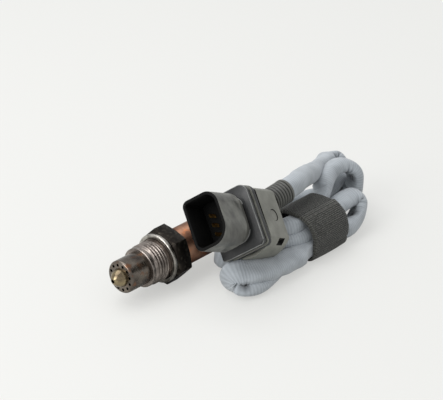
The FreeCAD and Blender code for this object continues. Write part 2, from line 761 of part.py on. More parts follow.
def hook_and_loop_tie():
    """The fabric tie round the folded cable, with its end lapped over itself."""
    end = TIE_START + TIE_LENGTH
    place = (TIE_CENTRE_Y, TIE_HEIGHT / 2)
    inner = (TIE_WIDTH - 2 * TIE_THICKNESS, TIE_HEIGHT - 2 * TIE_THICKNESS)
    outer = (TIE_WIDTH + 2 * TIE_OVERLAP, TIE_HEIGHT + 2 * TIE_OVERLAP)
    band = prism(TIE_START, end, TIE_WIDTH, TIE_HEIGHT, TIE_CORNERS, *place)
    hole = prism(TIE_START - 1, end + 1, *inner, inset(TIE_CORNERS, TIE_THICKNESS), *place)
    lap = prism(TIE_START, end, *outer, inset(TIE_CORNERS, -TIE_OVERLAP), *place)
    near_side = TIE_CENTRE_Y - TIE_LAP_REACH - TIE_WIDTH
    lapped = Part.makeBox(
        TIE_LENGTH, TIE_WIDTH, TIE_HEIGHT, Vector(TIE_START, near_side, TIE_LAP_HEIGHT)
    )
    return band.fuse(lap.common(lapped)).cut(hole).removeSplitter()


def cable_hank():
    """The outer shape of the folded cable: the waist in the tie, the loops right and left of it."""
    gap = TIE_THICKNESS + SOFT_GAP
    waist_start = TIE_START - WAIST_REACH
    waist_end = TIE_START + TIE_LENGTH + 2.0
    round_corners = (4.4, 4.4, 4.4, 4.4)
    waist = prism(
        waist_start,
        waist_end,
        TIE_WIDTH - 2 * gap,
        TIE_HEIGHT - 2 * gap,
        inset(TIE_CORNERS, gap),
        TIE_CENTRE_Y,
        TIE_HEIGHT / 2,
    )
    loops = Part.makeLoft(
        [
            section(waist_end, 24.0, 18.0, round_corners, -25.0, 9.4),
            section(waist_end + 8.0, 28.0, 20.4, round_corners, -23.5, 10.4),
            section(waist_end + 17.0, 34.0, 22.6, round_corners, -17.6, 14.2),
            section(waist_end + 26.0, 22.0, 21.0, round_corners, -10.0, 14.8),
            section(waist_end + 32.0, 16.0, 15.0, round_corners, -10.5, 16.6),
        ],
        True,
        True,
    )
    front_fold = Part.makeLoft(
        [
            section(-6.0, 9.0, 9.2, round_corners, -29.4, 7.2),
            section(0.0, 14.6, 13.0, round_corners, -31.0, 6.9),
            section(20.0, 14.6, 12.8, round_corners, -33.6, 6.5),
            section(waist_start + 1.0, 14.0, 11.4, round_corners, -31.4, 6.4),
        ],
        True,
        True,
    )
    back_fold = prism(6.2, waist_start + 1.0, 15.4, 9.0, round_corners, -15.2, 4.6)
    bridge = prism(waist_start - 2.0, waist_start + 2.0, 26.0, 9.0, round_corners, -23.0, 4.8)
    hank = waist.fuse([loops, front_fold, back_fold, bridge])
    flange = (FLANGE_WIDTH + 2 * SOFT_GAP, FLANGE_HEIGHT + 2 * SOFT_GAP)
    above = prism(-1, COVER_FRONT + 4, *flange, inset(FLANGE_CORNERS, -SOFT_GAP))
    above = above.fuse(hood(COVER_FRONT, COVER_REAR + SOFT_GAP, -SOFT_GAP))
    above.Placement = connector_place
    beside = bar(HEX_REAR, SENSOR_REAR, SLEEVE_RADIUS + SOFT_GAP)
    beside.Placement = sensor_place
    hank = hank.cut(above).cut(beside)
    for points in (CABLE_FROM_SENSOR, CABLE_TO_CONNECTOR):
        hank = hank.cut(tube_along(points, CABLE_RADIUS + SOFT_GAP)[0])
    return max(hank.Solids, key=lambda solid: solid.Volume)


pieces = [
    ("outer_protection_tube", outer_protection_tube(), sensor_place),
    ("inner_protection_tube", inner_protection_tube(), sensor_place),
    ("sensor_shell", sensor_shell(), sensor_place),
    ("seal_ring", seal_ring(), sensor_place),
    ("sensing_element", element_slot(ELEMENT_FRONT, ELEMENT_REAR, 0), sensor_place),
    ("lower_insulator", packing(LEDGE, TALC_FRONT, SLIDE), sensor_place),
    ("talc_seal", packing(TALC_FRONT, TALC_REAR, 0), sensor_place),
    ("upper_insulator", packing(TALC_REAR, INSULATOR_REAR, SLIDE), sensor_place),
    ("contact_holder_upper", contact_holder(1), sensor_place),
    ("contact_holder_lower", contact_holder(-1), sensor_place),
    ("holder_clamp", holder_clamp(), sensor_place),
    ("contact_springs", contact_springs(), sensor_place),
    ("sensor_wires", sensor_wires(), sensor_place),
    ("rear_sleeve", rear_sleeve(), sensor_place),
    ("cable_grommet", cable_grommet(), sensor_place),
    ("connector_housing", connector_housing(), connector_place),
    ("connector_pins", connector_pins(), connector_place),
    ("terminal_lock", terminal_lock(), connector_place),
    ("wire_seal", wire_seal(), connector_place),
    ("flange_seal", flange_seal(), connector_place),
    ("rear_cover", rear_cover(), connector_place),
    ("trim_resistor", trim_resistor(), connector_place),
    ("connector_wires", connector_wires(), connector_place),
    ("corrugated_boot", boot_solid, boot_place),
    ("cable_from_sensor", cable_from_sensor, Placement()),
    ("cable_to_connector", cable_to_connector, Placement()),
    ("cable_hank", cable_hank(), Placement()),
    ("hook_and_loop_tie", hook_and_loop_tie(), Placement()),
]

for name, shape, place in pieces:
    made = export(name, shape, place)
    box = made.BoundBox
    print(
        name,
        made.ShapeType,
        made.isValid(),
        "solids",
        len(made.Solids),
        "volume",
        round(made.Volume, 1),
        "x %.1f %.1f y %.1f %.1f z %.1f %.1f"
        % (box.XMin, box.XMax, box.YMin, box.YMax, box.ZMin, box.ZMax),
    )
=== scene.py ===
import math

import bmesh
import bpy
import numpy as np
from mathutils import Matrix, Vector


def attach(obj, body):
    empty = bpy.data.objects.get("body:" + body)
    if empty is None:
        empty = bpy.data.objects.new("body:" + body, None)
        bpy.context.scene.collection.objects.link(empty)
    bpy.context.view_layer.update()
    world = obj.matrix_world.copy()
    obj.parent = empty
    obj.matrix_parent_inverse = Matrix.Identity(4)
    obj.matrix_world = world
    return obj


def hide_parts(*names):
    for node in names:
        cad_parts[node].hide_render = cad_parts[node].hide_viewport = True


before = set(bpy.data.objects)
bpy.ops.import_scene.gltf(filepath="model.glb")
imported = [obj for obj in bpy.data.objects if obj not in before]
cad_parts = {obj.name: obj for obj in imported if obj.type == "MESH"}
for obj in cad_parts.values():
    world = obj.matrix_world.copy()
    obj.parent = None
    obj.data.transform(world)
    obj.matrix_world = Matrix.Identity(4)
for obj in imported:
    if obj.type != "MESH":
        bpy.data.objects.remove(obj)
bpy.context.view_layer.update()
scene = bpy.context.scene
MM = 0.001

# The camera stands where the photographer stood.
lens = bpy.data.cameras.new("camera")
lens.sensor_fit = "HORIZONTAL"
lens.sensor_width = 36.0
lens.lens = 126.137
lens.clip_start = 0.05
lens.clip_end = 20.0
camera = bpy.data.objects.new("camera", lens)
camera.location = (-0.430131, -0.399030, 0.319624)
camera.rotation_euler = (math.radians(90 - 25.9835), 0, math.radians(-48.7751))
scene.collection.objects.link(camera)
scene.camera = camera
scene.view_settings.view_transform = "Standard"

# The sensor's axis runs along x at this height.
TURN_AXIS = 0.0122066
# The hexagon's size across flats, and the turn of its first corner.
ACROSS_FLATS = 0.0220
HEX_TURN = math.radians(16.05)

# The cable's diameter, and the distance between the ribs of its cover.
CABLE = 0.0092
RIB_PITCH = 0.00105

# The tie: its place along x, the middle and size of its outline in y and z, and its corners.
TIE_START = 0.0417
TIE_LENGTH = 0.0230
TIE_MIDDLE = (-0.0266, 0.0104)
TIE_SIZE = (0.0260, 0.0208)
TIE_CORNERS = (0.0096, 0.0110, 0.0048, 0.0052)
TIE_THICKNESS = 0.0015
TIE_CORD_PITCH = 0.0008

# The connector's own frame: the middle of the flange's face, and the ways rearward, across and up.
FLANGE_FACE = Vector((0.003974, -0.025405, 0.030084))
CONNECTOR_REARWARD = Vector((0.90907, 0.06516, -0.41151))
CONNECTOR_SIDE = Vector((-0.31435, 0.75550, -0.57480))
CONNECTOR_UP = Vector((0.27345, 0.65189, 0.70729))

# The boot's axis runs from the cover's back to the cable's end. Its colour turns from the grooves'
# painted black shade at the first radius to the ridges' painted grey highlight at the second.
CABLE_END = (0.0413, -0.0221, 0.0300)
BOOT_AXIS = (0.9969, 0.004, 0.0776)
BOOT_RADII = (0.0045, 0.0054)


def linear(colour):
    """An sRGB hex colour as the linear colour that a shader takes."""
    channels = [int(colour[place : place + 2], 16) / 255 for place in (0, 2, 4)]
    return [c / 12.92 if c <= 0.04045 else ((c + 0.055) / 1.055) ** 2.4 for c in channels] + [1.0]


def add(tree, kind, inputs=None, **settings):
    """A node with its settings. An input takes a value, a hex colour or another node's output."""
    node = tree.nodes.new(kind)
    for name, value in settings.items():
        setattr(node, name, value)
    for name, value in (inputs or {}).items():
        if isinstance(value, bpy.types.NodeSocket):
            tree.links.new(value, node.inputs[name])
        else:
            node.inputs[name].default_value = linear(value) if isinstance(value, str) else value
    return node


def start_material(name):
    """A material without nodes, its tree, and the place on the object that patterns follow."""
    material = bpy.data.materials.new(name)
    material.use_nodes = True
    tree = material.node_tree
    tree.nodes.clear()
    return material, tree, add(tree, "ShaderNodeTexCoord").outputs["Object"]


def patches(tree, vector, size, low, high, detail=3.0):
    """Soft patches of a real size in metres, from 0 to 1."""
    noise = {"Vector": vector, "Scale": 1 / size, "Detail": detail}
    fac = add(tree, "ShaderNodeTexNoise", noise).outputs["Fac"]
    spread = {"Value": fac, "From Min": low, "From Max": high}
    return add(tree, "ShaderNodeMapRange", spread).outputs["Result"]


def bands(tree, pitch, unevenness):
    """Even bands across a cable's or tie's run, at a real pitch in metres.

    At a scale of 1 the wave texture's bands are a twentieth of 2 pi apart.
    """
    along = add(tree, "ShaderNodeUVMap", uv_map="run").outputs["UV"]
    wave = {"Vector": along, "Scale": math.tau / 20 / pitch, "Distortion": unevenness}
    settings = {"wave_type": "BANDS", "bands_direction": "X"}
    return add(tree, "ShaderNodeTexWave", wave, **settings).outputs["Fac"]


def tinted(tree, colour, *layers):
    """A colour with others laid over it in turn, each as far as its pattern goes."""
    for pattern, over in layers:
        mixed = {0: pattern, 6: colour, 7: over}
        colour = add(tree, "ShaderNodeMix", mixed, data_type="RGBA").outputs[2]
    return colour


def finish_material(tree, colour, rough, relief=None, **values):
    """The principled shader, with its colour, roughness, relief and plain values.

    The roughness is a number, or a pattern and the two roughnesses that it runs between. The
    relief is a pattern, its real depth in metres and its strength.
    """
    surface = {name.replace("_", " "): value for name, value in values.items()}
    surface["Base Color"] = colour
    surface["Roughness"] = rough
    if isinstance(rough, tuple):
        spread = dict(zip(("Value", "To Min", "To Max"), rough))
        surface["Roughness"] = add(tree, "ShaderNodeMapRange", spread).outputs["Result"]
    if relief:
        bump = dict(zip(("Height", "Distance", "Strength"), relief))
        surface["Normal"] = add(tree, "ShaderNodeBump", bump).outputs["Normal"]
    shader = add(tree, "ShaderNodeBsdfPrincipled", surface)
    add(tree, "ShaderNodeOutputMaterial", {"Surface": shader.outputs["BSDF"]})


def steel(name, dark, light, rough, size, stretch, worn=None, depth=0.00002):
    """Metal whose tint, gloss and tool marks vary. Stretch draws the marks out along an axis."""
    material, tree, place = start_material(name)
    drawn = add(tree, "ShaderNodeMapping", {"Vector": place, "Scale": stretch}).outputs["Vector"]
    marks = patches(tree, drawn, 0.0009, 0.3, 0.7, 2.0)
    layers = [(patches(tree, place, size, 0.36, 0.66), light)]
    if worn:
        layers.append((patches(tree, place, size * 0.55, 0.55, 0.72), worn))
    colour = tinted(tree, dark, *layers)
    gloss = (marks, rough - 0.06, rough + 0.08)
    finish_material(tree, colour, gloss, (marks, depth, 0.6), Metallic=1.0)
    return material


def moulded(name, dark, light, rough, grain=0.0005, depth=0.00003, size=0.006, shine=0.5):
    """Plastic or rubber with a fine grain from the mould, and faint clouds from handling."""
    material, tree, place = start_material(name)
    cloud = patches(tree, place, size, 0.34, 0.68)
    fine = patches(tree, place, grain, 0.3, 0.7, 2.0)
    speckle = add(tree, "ShaderNodeMath", {0: fine, 1: 0.22}, operation="MULTIPLY").outputs[0]
    colour = tinted(tree, dark, (cloud, light), (speckle, light))
    gloss = (cloud, rough - 0.05, rough + 0.08)
    finish_material(tree, colour, gloss, (fine, depth, 0.5), Specular_IOR_Level=shine)
    return material


# Deep-drawn stainless steel, heat-tinted smoky brown: dark reflections, soft streaks round it.
tube_steel = steel(
    "drawn_stainless_tube", "4a4440", "7d756c", 0.25, 0.007, (1, 0.35, 0.35), "7a563f"
)
# The same steel where it stays polished: a straw tint that flashes gold.
nose_steel = steel("polished_stainless_nose", "756855", "a79877", 0.22, 0.003, (1, 1, 1))
# Turned stainless steel: fine lathe marks round the axis, grey-brown.
turned_steel = steel("turned_stainless_thread", "6f6863", "a49b94", 0.34, 0.004, (3, 0.4, 0.4))
# Cold-forged steel, blackened by heat: dull brown-black with a dry, pitted skin.
black_steel = steel(
    "blackened_forged_hexagon", "1e1b19", "312d29", 0.42, 0.003, (1, 1, 1), "47433c", 0.00005
)
# Plated steel ring: pale and evenly bright.
ring_steel = steel("plated_steel_gasket", "7b7771", "b9b5ae", 0.30, 0.003, (3, 0.5, 0.5))
# Drawn stainless steel with a copper heat tint: warm, half matt, with redder spots.
copper_steel = steel(
    "heat_tinted_sleeve", "6b4b3c", "98745f", 0.38, 0.007, (1, 0.4, 0.4), "a56a48"
)
# Rolled spring steel, hidden in the sensor: bright and even.
spring_steel = steel("rolled_spring_steel", "8b8c8d", "b9bbbd", 0.3, 0.002, (1, 1, 1))
# Stamped brass, painted dark for the socket's shade, and dull.
pin_brass = steel("stamped_brass", "4a3a22", "7a5f34", 0.45, 0.001, (1, 1, 1))

# Glass-filled PBT: near black, half matt, with a fibre grain.
flange_plastic = moulded("glass_filled_pbt_black", "151617", "262728", 0.40)
# Its rounded edges, painted greyer as an edge highlight, and with more gloss.
edge_highlight_plastic = moulded("glass_filled_pbt_painted_edge_highlight", "5c5d5b", "8a8b88", 0.30)
# Painted shade in the recesses of the grey mouldings: near black and dull.
recess_shade_plastic = moulded("painted_recess_shade_on_pbt", "0b0b0a", "1b1b19", 0.75, shine=0.2)
# The same black PBT inside the socket, painted near black for the shade in it, and duller.
shaded_socket_plastic = moulded("glass_filled_pbt_painted_socket_shade", "060606", "0c0c0b", 0.7, shine=0.12)
# Glass-filled PBT in mid grey, matt from a textured mould.
cover_plastic = moulded("glass_filled_pbt_grey", "67675f", "82827a", 0.46, 0.0004, 0.00005)
# Moulded seal rubber: black with a soft gloss.
seal_rubber = moulded("moulded_seal_rubber", "111212", "232424", 0.42, 0.0006)
# Fired alumina ceramic, hidden in the sensor: creamy white and matt.
alumina = moulded("fired_alumina", "d8d2c4", "efeadf", 0.55)
# Pressed talc powder, hidden in the sensor: chalky grey-white.
talc = moulded("pressed_talc", "b9b6ad", "d2cfc6", 0.85)
# Extruded plastic wire covers, hidden in the sensor and connector: dark blue-grey.
wire_cover = moulded("extruded_wire_cover", "2a2f3a", "4a4d55", 0.5)


def collar_dust_and_reflection_material():
    """The housing's black PBT on the collar, painted mid grey for the reflection and dust on its
    side, half gloss, with darker clouds smudged by handling.
    """
    material, tree, place = start_material("glass_filled_pbt_collar_painted_dust_and_reflection")
    drawn = add(tree, "ShaderNodeMapping", {"Vector": place, "Scale": (1.6, 1.6, 0.6)})
    cloud = patches(tree, drawn.outputs["Vector"], 0.006, 0.35, 0.66)
    fine = patches(tree, place, 0.0004, 0.3, 0.7, 2.0)
    colour = tinted(tree, "484844", (cloud, "73736d"))
    finish_material(tree, colour, (cloud, 0.36, 0.5), (fine, 0.00003, 0.5))
    return material


def sleeve_material():
    """Textile cable cover, woven over a fine spiral rib: grey-blue, dry, with painted shade in its
    folds.

    Its threads are drawn at 0.45 mm, coarser than the real ones, so that they show.
    """
    material, tree, place = start_material("woven_polyester_cable_cover")
    ribs = bands(tree, RIB_PITCH, 0.35)
    threads = patches(tree, place, 0.00045, 0.3, 0.7, 2.0)
    cloud = patches(tree, place, 0.008, 0.32, 0.7)
    ribbed = add(tree, "ShaderNodeMath", {0: ribs, 1: 0.45}, operation="MULTIPLY").outputs[0]
    hollow = add(tree, "ShaderNodeAttribute", attribute_name="fold_shade").outputs["Fac"]
    colour = tinted(tree, "8d9398", (cloud, "a4aaaf"), (ribbed, "b8bec4"), (hollow, "3c3f43"))
    height = add(tree, "ShaderNodeMath", {0: threads, 1: 0.3, 2: ribs}, operation="MULTIPLY_ADD")
    relief = (height.outputs[0], 0.00012, 0.8)
    finish_material(tree, colour, 0.78, relief, Sheen_Weight=0.25, Sheen_Roughness=0.6)
    return material


def tie_material():
    """Woven nylon tie: charcoal, with cords across it whose tops are painted lighter as
    highlights, rough and dull, and pale painted highlight lines.
    """
    material, tree, place = start_material("woven_nylon_tie")
    cords = bands(tree, TIE_CORD_PITCH, 0.8)
    tufts = patches(tree, place, 0.0006, 0.36, 0.64, 2.0)
    cloud = patches(tree, place, 0.005, 0.3, 0.7)
    highlight_lines = add(tree, "ShaderNodeAttribute", attribute_name="highlight_lines").outputs["Fac"]
    height = add(tree, "ShaderNodeMath", {0: tufts, 1: 0.9, 2: cords}, operation="MULTIPLY_ADD")
    tops = {"Value": height.outputs[0], "From Min": 0.9, "From Max": 1.8, "To Max": 0.8}
    lit_crest = add(tree, "ShaderNodeMapRange", tops).outputs["Result"]
    colour = tinted(tree, "191916", (cloud, "282824"), (highlight_lines, "8b8b84"), (lit_crest, "64645c"))
    relief = (height.outputs[0], 0.0003, 1.0)
    finish_material(tree, colour, 0.82, relief, Sheen_Weight=0.15, Sheen_Roughness=0.5)
    return material


def boot_material():
    """Thermoplastic rubber: black, with painted shade in its grooves and a painted grey highlight
    on its ridges.
    """
    material, tree, place = start_material("moulded_boot_rubber")
    from_end = add(tree, "ShaderNodeVectorMath", {0: place, 1: CABLE_END}, operation="SUBTRACT")
    both = {0: from_end.outputs[0], 1: BOOT_AXIS}
    across = add(tree, "ShaderNodeVectorMath", both, operation="CROSS_PRODUCT").outputs[0]
    radius = add(tree, "ShaderNodeVectorMath", {0: across}, operation="LENGTH").outputs["Value"]
    tops = {"Value": radius, "From Min": BOOT_RADII[0], "From Max": BOOT_RADII[1]}
    lit_crest = add(tree, "ShaderNodeMapRange", tops).outputs["Result"]
    fine = patches(tree, place, 0.0006, 0.3, 0.7, 2.0)
    finish_material(tree, tinted(tree, "0e0d0c", (lit_crest, "5a5a56")), 0.44, (fine, 0.00003, 0.5))
    return material


collar_dust_and_reflection_plastic = collar_dust_and_reflection_material()
sleeve_cloth = sleeve_material()
tie_cloth = tie_material()
boot_rubber = boot_material()


def piece_from(name, mesh, materials):
    """An object at the origin whose mesh holds its place."""
    for material in materials:
        mesh.materials.append(material)
    piece = bpy.data.objects.new(name, mesh)
    scene.collection.objects.link(piece)
    return piece


def sweep_mesh(name, rings, closed_along=False):
    """Quads between rings of points, with flat ends where the sweep is open."""
    rings = np.array(rings)
    rows, columns = rings.shape[:2]
    faces = []
    for row in range(rows if closed_along else rows - 1):
        below, above = row * columns, (row + 1) % rows * columns
        for column in range(columns):
            after = (column + 1) % columns
            faces.append((below + column, below + after, above + after, above + column))
    if not closed_along:
        faces.append(tuple(reversed(range(columns))))
        faces.append(tuple((rows - 1) * columns + column for column in range(columns)))
    mesh = bpy.data.meshes.new(name)
    mesh.from_pydata(rings.reshape(-1, 3).tolist(), [], faces)
    mesh.validate()
    solid = bmesh.new()
    solid.from_mesh(mesh)
    bmesh.ops.recalc_face_normals(solid, faces=solid.faces)
    solid.to_mesh(mesh)
    solid.free()
    return mesh


def shade(mesh, angle):
    """Smooth shading up to an angle in degrees, and sharp edges past it."""
    mesh.shade_smooth()
    mesh.set_sharp_from_angle(angle=math.radians(angle))


def mark(mesh, name, values):
    """A value from 0 to 1 on each vertex, for a material to read."""
    layer = mesh.attributes.new(name, "FLOAT", "POINT")
    layer.data.foreach_set("value", np.clip(values, 0, 1).reshape(-1).astype(np.float32))


# The cable's route: from the sensor, through the tie and its folds, and back to the connector.
ROUTE = [
    # out of the sensor, under the connector's way back
    (0.0420, 0.0000, 0.0122),
    (0.0500, 0.0000, 0.0122),
    (0.0590, -0.0009, 0.0104),
    (0.0680, -0.0022, 0.0080),
    (0.0760, -0.0034, 0.0064),
    (0.0840, -0.0046, 0.0052),
    # the tall fold at the far end
    (0.0912, -0.0080, 0.0050),
    (0.0946, -0.0146, 0.0054),
    (0.0952, -0.0192, 0.0092),
    (0.0959, -0.0200, 0.0148),
    (0.0956, -0.0194, 0.0198),
    (0.0928, -0.0172, 0.0232),
    (0.0880, -0.0152, 0.0241),
    # down in front of the last run, through the tie at the top
    (0.0820, -0.0154, 0.0228),
    (0.0762, -0.0172, 0.0208),
    (0.0712, -0.0190, 0.0180),
    (0.0640, -0.0220, 0.0162),
    (0.0530, -0.0250, 0.0155),
    (0.0417, -0.0279, 0.0154),
    (0.0345, -0.0252, 0.0152),
    (0.0282, -0.0176, 0.0124),
    (0.0206, -0.0134, 0.0080),
    # the fold under the flange
    (0.0130, -0.0122, 0.0082),
    (0.0090, -0.0136, 0.0090),
    (0.0094, -0.0166, 0.0080),
    (0.0152, -0.0186, 0.0060),
    (0.0210, -0.0204, 0.0052),
    (0.0295, -0.0248, 0.0096),
    # through the tie in the middle
    (0.0410, -0.0314, 0.0102),
    (0.0530, -0.0290, 0.0103),
    (0.0660, -0.0275, 0.0112),
    (0.0789, -0.0262, 0.0136),
    # the near fold at the far end
    (0.0858, -0.0285, 0.0142),
    (0.0858, -0.0305, 0.0106),
    (0.0796, -0.0328, 0.0060),
    (0.0703, -0.0340, 0.0048),
    # through the tie on the near side
    (0.0620, -0.0338, 0.0054),
    (0.0520, -0.0342, 0.0056),
    (0.0425, -0.0348, 0.0050),
    (0.0177, -0.0364, 0.0074),
    (0.0050, -0.0338, 0.0096),
    # the fold that lies in front
    (-0.0006, -0.0302, 0.0100),
    (-0.0014, -0.0284, 0.0060),
    (-0.0006, -0.0312, 0.0034),
    (0.0000, -0.0342, 0.0032),
    (0.0066, -0.0362, 0.0033),
    # through the tie on the bench
    (0.0240, -0.0322, 0.0037),
    (0.0380, -0.0246, 0.0046),
    (0.0520, -0.0210, 0.0052),
    (0.0640, -0.0193, 0.0058),
    (0.0736, -0.0150, 0.0082),
    (0.0838, -0.0118, 0.0110),
    # the fold behind, and back over the tie to the boot
    (0.0924, -0.0104, 0.0126),
    (0.0988, -0.0086, 0.0144),
    (0.1016, -0.0056, 0.0168),
    (0.1014, -0.0026, 0.0192),
    (0.0988, -0.0018, 0.0206),
    (0.0930, -0.0034, 0.0204),
    (0.0857, -0.0062, 0.0210),
    (0.0773, -0.0102, 0.0234),
    (0.0680, -0.0142, 0.0262),
    (0.0585, -0.0180, 0.0292),
    (0.0500, -0.0214, 0.0306),
    CABLE_END,
]

# How the cover is pressed out of round: a point of the route, half its thickness and half its
# width in mm, and the way in which it is thin.
PRESSED = [
    (0, 4.6, 4.6, (0, 0, 1)),
    (5, 4.3, 4.6, (0, 0, 1)),
    (8, 3.4, 5.2, (0.9, -0.4, -0.2)),
    (9, 3.0, 5.4, (0.9, -0.4, 0.0)),
    (10, 2.9, 5.4, (0.9, -0.3, 0.3)),
    (11, 3.2, 5.2, (0.3, 0.1, 0.9)),
    (12, 3.6, 5.0, (0.1, 0.3, 0.9)),
    (14, 4.1, 4.7, (-0.4, 0.6, 0.6)),
    (16, 4.4, 4.6, (0, 0.3, 1)),
    (18, 4.3, 4.6, (0, 0.3, 1)),
    (21, 3.6, 4.9, (0, 0.8, 0.6)),
    (23, 2.9, 5.0, (1, 0.3, 0)),
    (25, 3.1, 4.8, (0, 1, 0.3)),
    (27, 3.6, 4.8, (0, 0.2, 1)),
    (29, 4.3, 4.7, (0, 0.2, 1)),
    (30, 4.2, 4.7, (-0.2, 0.1, 1)),
    (31, 3.3, 5.1, (-0.3, -0.1, 1)),
    (32, 2.9, 5.3, (0.5, -0.3, 0.8)),
    (33, 3.0, 5.3, (0.85, -0.5, 0)),
    (34, 3.6, 5.0, (0.6, -0.5, -0.6)),
    (35, 4.0, 4.8, (0, 0, 1)),
    (37, 4.2, 4.7, (0, 0, 1)),
    (38, 4.2, 4.8, (0, -0.2, 1)),
    (39, 3.5, 5.4, (0, -0.35, 0.93)),
    (40, 2.9, 5.8, (-0.1, -0.4, 0.9)),
    (41, 2.5, 5.9, (-0.7, -0.2, 0.6)),
    (42, 2.4, 5.9, (0.9, 0.1, 0.2)),
    (43, 2.6, 5.6, (0.6, 0, 0.8)),
    (45, 2.9, 5.3, (0, 0, 1)),
    (48, 3.8, 4.9, (0, 0, 1)),
    (51, 3.6, 4.9, (0, 0.3, 1)),
    (53, 2.9, 5.0, (0.7, 0.5, -0.5)),
    (55, 2.6, 5.0, (0.8, 0.5, 0.3)),
    (56, 2.9, 4.9, (0.3, 0.2, 0.9)),
    (58, 3.8, 4.8, (0, 0.7, 0.7)),
    (60, 4.5, 4.6, (0, 0, 1)),
    (63, 4.6, 4.6, (0, 0, 1)),
]

# Where the cover has buckled into a hollow on the inside of a fold: its place in the route's
# stretches, the way that it faces, its depth and length in mm, and how far round it spreads.
HOLLOWS = [
    (9.2, (-0.9, 0.3, 0.2), 2.2, 3.4, 1.1),
    (11.0, (-0.8, 0.0, -0.6), 2.4, 2.6, 1.1),
    (12.4, (0.0, -0.4, -0.9), 1.8, 2.2, 0.9),
    (32.6, (-0.8, 0.1, 0.0), 2.2, 2.6, 1.1),
    (33.6, (-0.8, 0.2, 0.6), 2.2, 3.4, 1.2),
    (42.4, (0.7, -0.4, 0.2), 2.2, 2.4, 1.1),
    (43.4, (-0.2, -0.5, 0.9), 1.7, 1.5, 0.9),
    (23.2, (0.8, 0.0, 0.3), 1.8, 2.4, 1.1),
    (55.6, (-0.7, -0.5, 0.3), 2.0, 2.6, 1.1),
]


# The cover's mesh: the distance between its rows, and its columns.
ROW_SPACING = 0.00055
COLUMNS = 48
# Three points shape each stretch of the line, so a point lies half a stretch before its number.
POINT_SHIFT = 0.5
# The cover reaches at least and at most this far from its line.
CLOSEST, FURTHEST = 0.0018, 0.0062
# A hollow this deep has its full painted shade.
SHADED_DEPTH = 0.0018
# The box-shaped fold in front: its place and spread in the route's stretches, and its squareness.
BOX_FOLD = (41, 2.6, 1.6)
# The gap between the cover and the tie, how far past the tie's ends the cover is still held, and
# how fast it swells out again there.
TIE_GAP = 0.0003
TIE_REACH = 0.008
TIE_FLARE = 60


def spline_points(points):
    """The points that Blender gives for the route's smooth spline."""
    curve = bpy.data.curves.new("route", "CURVE")
    curve.dimensions = "3D"
    spline = curve.splines.new("NURBS")
    spline.points.add(len(points) - 1)
    for control, point in zip(spline.points, points):
        control.co = (*point, 1.0)
    spline.order_u = 3
    spline.use_endpoint_u = True
    curve.resolution_u = 24
    holder = bpy.data.objects.new("route", curve)
    scene.collection.objects.link(holder)
    bpy.context.view_layer.update()
    shown = holder.evaluated_get(bpy.context.evaluated_depsgraph_get())
    read = bpy.data.meshes.new_from_object(shown)
    line = np.array([vertex.co for vertex in read.vertices])
    bpy.data.objects.remove(holder)
    bpy.data.meshes.remove(read)
    return line


def soften(values, width):
    """A running mean with its ends held."""
    padded = np.pad(values, [(width, width)] + [(0, 0)] * (values.ndim - 1), mode="edge")
    kernel = np.hanning(2 * width + 1)
    kernel /= kernel.sum()
    if values.ndim == 1:
        return np.convolve(padded, kernel, "valid")
    return np.stack([np.convolve(column, kernel, "valid") for column in padded.T], axis=1)


def unit(rows):
    """Each row as a direction of length 1."""
    return rows / np.linalg.norm(rows, axis=-1, keepdims=True)


def way_along(points):
    """The length of a line up to each of its points."""
    steps = np.linalg.norm(np.diff(points, axis=0), axis=1)
    return np.concatenate([[0], np.cumsum(steps)])


def bump_at(values, middle, width):
    """1 at the middle, falling to 0 at either side over about twice the width."""
    return np.exp(-(((values - middle) / width) ** 2))


def tie_outline(count):
    """The tie's outer line across the cable, as points, outward directions and way round."""
    corners = ((1, 1), (-1, 1), (-1, -1), (1, -1))
    raw = []
    for number, ((right, up), radius) in enumerate(zip(corners, TIE_CORNERS)):
        middle_y = TIE_MIDDLE[0] + right * (TIE_SIZE[0] / 2 - radius)
        middle_z = TIE_MIDDLE[1] + up * (TIE_SIZE[1] / 2 - radius)
        for turn in np.radians(np.linspace(90 * number, 90 * number + 90, 13)):
            raw.append((middle_y + radius * math.cos(turn), middle_z + radius * math.sin(turn)))
    raw = np.array(raw + raw[:1])
    run = way_along(raw)
    way = np.linspace(0, run[-1], count, endpoint=False)
    points = np.stack([np.interp(way, run, raw[:, axis]) for axis in range(2)], axis=1)
    ahead = np.roll(points, -1, axis=0) - np.roll(points, 1, axis=0)
    outward = unit(np.stack([ahead[:, 1], -ahead[:, 0]], axis=1))
    return points, outward, way


def past_tie(x):
    """How far each point lies beyond the tie's nearer end, below 0 inside it."""
    return np.maximum(TIE_START - x, x - TIE_START - TIE_LENGTH)


def inside_tie(path):
    """True for each point of a path that runs inside the tie or just outside its ends."""
    beside = np.abs(path[:, 1] - TIE_MIDDLE[0]) < TIE_SIZE[0] / 2
    return (past_tie(path[:, 0]) < TIE_REACH) & beside & (path[:, 2] < TIE_SIZE[1])


def hold_in_tie(rings, path):
    """Cloth inside the tie is pressed back to its inner face, and less so just outside it."""
    points, outward, _ = tie_outline(720)
    middle = np.array(TIE_MIDDLE)
    spoke = points - outward * (TIE_THICKNESS + TIE_GAP) - middle
    turns = np.arctan2(spoke[:, 1], spoke[:, 0])
    order = np.argsort(turns)
    from_middle = rings[:, :, 1:] - middle
    distance = np.linalg.norm(from_middle, axis=2)
    turn = np.arctan2(from_middle[:, :, 1], from_middle[:, :, 0])
    inner = np.linalg.norm(spoke, axis=1)
    room = np.interp(turn, turns[order], inner[order], period=math.tau)
    room += np.clip(past_tie(rings[:, :, 0]), 0, 1) ** 2 * TIE_FLARE
    held = (distance > room) & inside_tie(path)[:, None]
    scale = np.where(held, room / distance, 1.0)
    rings[:, :, 1:] = middle + from_middle * scale[:, :, None]


